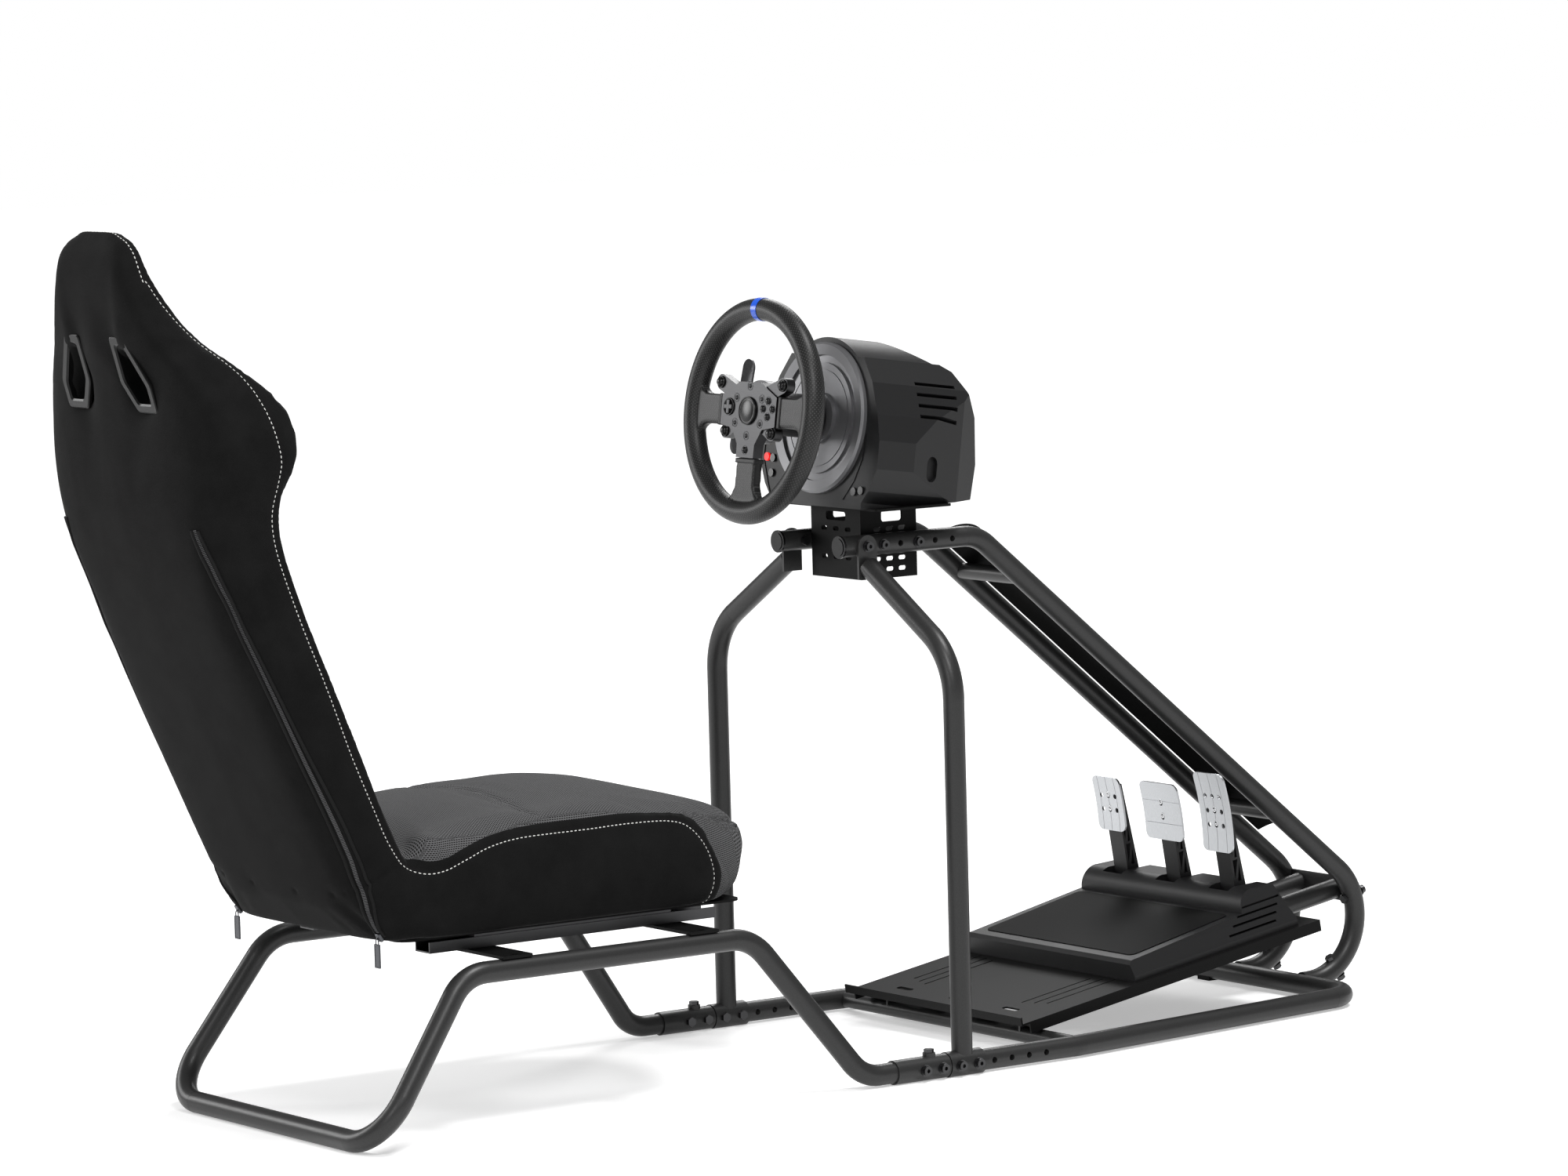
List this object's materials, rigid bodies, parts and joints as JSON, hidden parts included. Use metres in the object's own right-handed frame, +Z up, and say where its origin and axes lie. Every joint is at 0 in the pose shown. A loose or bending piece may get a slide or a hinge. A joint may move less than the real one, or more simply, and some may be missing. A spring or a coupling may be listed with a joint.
{
  "type": "sim racing cockpit",
  "caption": "Open tube-frame sim racing cockpit with a bucket seat on slides, a steering wheel unit on a raised deck and a pedal set on a sloping slotted plate.",
  "frame": {"origin": "on the floor, under the middle of the overall width and length", "axes": "+X to the driver's right, +Y the way the driver faces, +Z up"},
  "size_m": [0.5876, 1.9836, 1.152],
  "materials": {
    "frame_paint": "matte powder coat",
    "sheet_paint": "satin powder coat",
    "steel": "satin",
    "housing": "fine texture",
    "lit_red": "lit, translucent",
    "trim_plastic": "satin",
    "rubber": "matte",
    "seat_cloth": "brushed suede-like cloth",
    "cushion_mesh": "coarse mesh",
    "rim_leather": "perforated",
    "marker_band": "smooth",
    "hub_metal": "brushed, dark anodised",
    "ring_metal": "satin",
    "pedal_metal": "brushed"
  },
  "bodies": {
    "frame": {"seat_frame": "frame_paint", "seat_mounts": "sheet_paint", "slide_rails": "steel", "base_frame": "frame_paint", "front_feet": "rubber", "heel_bar": "frame_paint", "upright_left": "frame_paint", "upright_right": "frame_paint", "arm_left": "frame_paint", "arm_right": "frame_paint", "arm_rungs": "frame_paint", "arm_caps": "trim_plastic", "arm_cover": "sheet_paint", "front_gusset": "frame_paint", "pedal_supports": "frame_paint", "pedal_plate": "sheet_paint", "deck_bracket": "sheet_paint", "wheel_deck": "sheet_paint", "frame_bolts": "steel", "arm_bolts": "steel", "wheel_base": "housing", "base_ring": "ring_metal", "base_buttons": "trim_plastic", "power_button": "lit_red", "pedal_base": "housing", "footrest": "rubber"},
    "seat": {"seat_backrest": "seat_cloth", "seat_cushion": "cushion_mesh", "seat_pan": "sheet_paint", "slide_runners": "steel"},
    "wheel": {"wheel_column": "hub_metal", "wheel_rim": "rim_leather", "wheel_spokes": "hub_metal", "hub_plate": "hub_metal", "hub_badge": "trim_plastic", "wheel_buttons": "trim_plastic", "rim_marker": "marker_band"},
    "left_paddle": {"paddle_left": "hub_metal"},
    "right_paddle": {"paddle_right": "hub_metal"},
    "clutch": {"clutch_arm": "housing", "clutch_face": "pedal_metal"},
    "brake": {"brake_arm": "housing", "brake_face": "pedal_metal"},
    "throttle": {"throttle_arm": "housing", "throttle_face": "pedal_metal"}
  },
  "joints": [
    {"name": "seat_slide", "type": "slide", "parent": "frame", "child": "seat", "axis": [0, 1, 0], "range_m": [-0.065, 0.065]},
    {"name": "steering", "type": "hinge", "parent": "frame", "child": "wheel", "pos_m": [0, 0.1246, 0.851], "axis": [0, -0.9903, 0.1392], "range_deg": [-540, 540]},
    {"name": "shift_left", "type": "hinge", "parent": "wheel", "child": "left_paddle", "pos_m": [-0.04, 0.0514, 0.8613], "axis": [0, 0.1392, 0.9903], "range_deg": [0, 5], "stiffness_Nm_per_rad": 1.5, "springref_deg": -6.88},
    {"name": "shift_right", "type": "hinge", "parent": "wheel", "child": "right_paddle", "pos_m": [0.04, 0.0514, 0.8613], "axis": [0, -0.1392, -0.9903], "range_deg": [0, 5], "stiffness_Nm_per_rad": 1.5, "springref_deg": -6.88},
    {"name": "clutch_press", "type": "hinge", "parent": "frame", "child": "clutch", "pos_m": [-0.118, 0.72302, 0.14128], "axis": [-1, 0, 0], "range_deg": [0, 14], "stiffness_Nm_per_rad": 12, "springref_deg": -8.59},
    {"name": "brake_press", "type": "hinge", "parent": "frame", "child": "brake", "pos_m": [0, 0.72302, 0.14128], "axis": [-1, 0, 0], "range_deg": [0, 10], "stiffness_Nm_per_rad": 60, "springref_deg": -4.58},
    {"name": "throttle_press", "type": "hinge", "parent": "frame", "child": "throttle", "pos_m": [0.118, 0.72302, 0.14128], "axis": [-1, 0, 0], "range_deg": [0, 14], "stiffness_Nm_per_rad": 8, "springref_deg": -8.59}
  ]
}
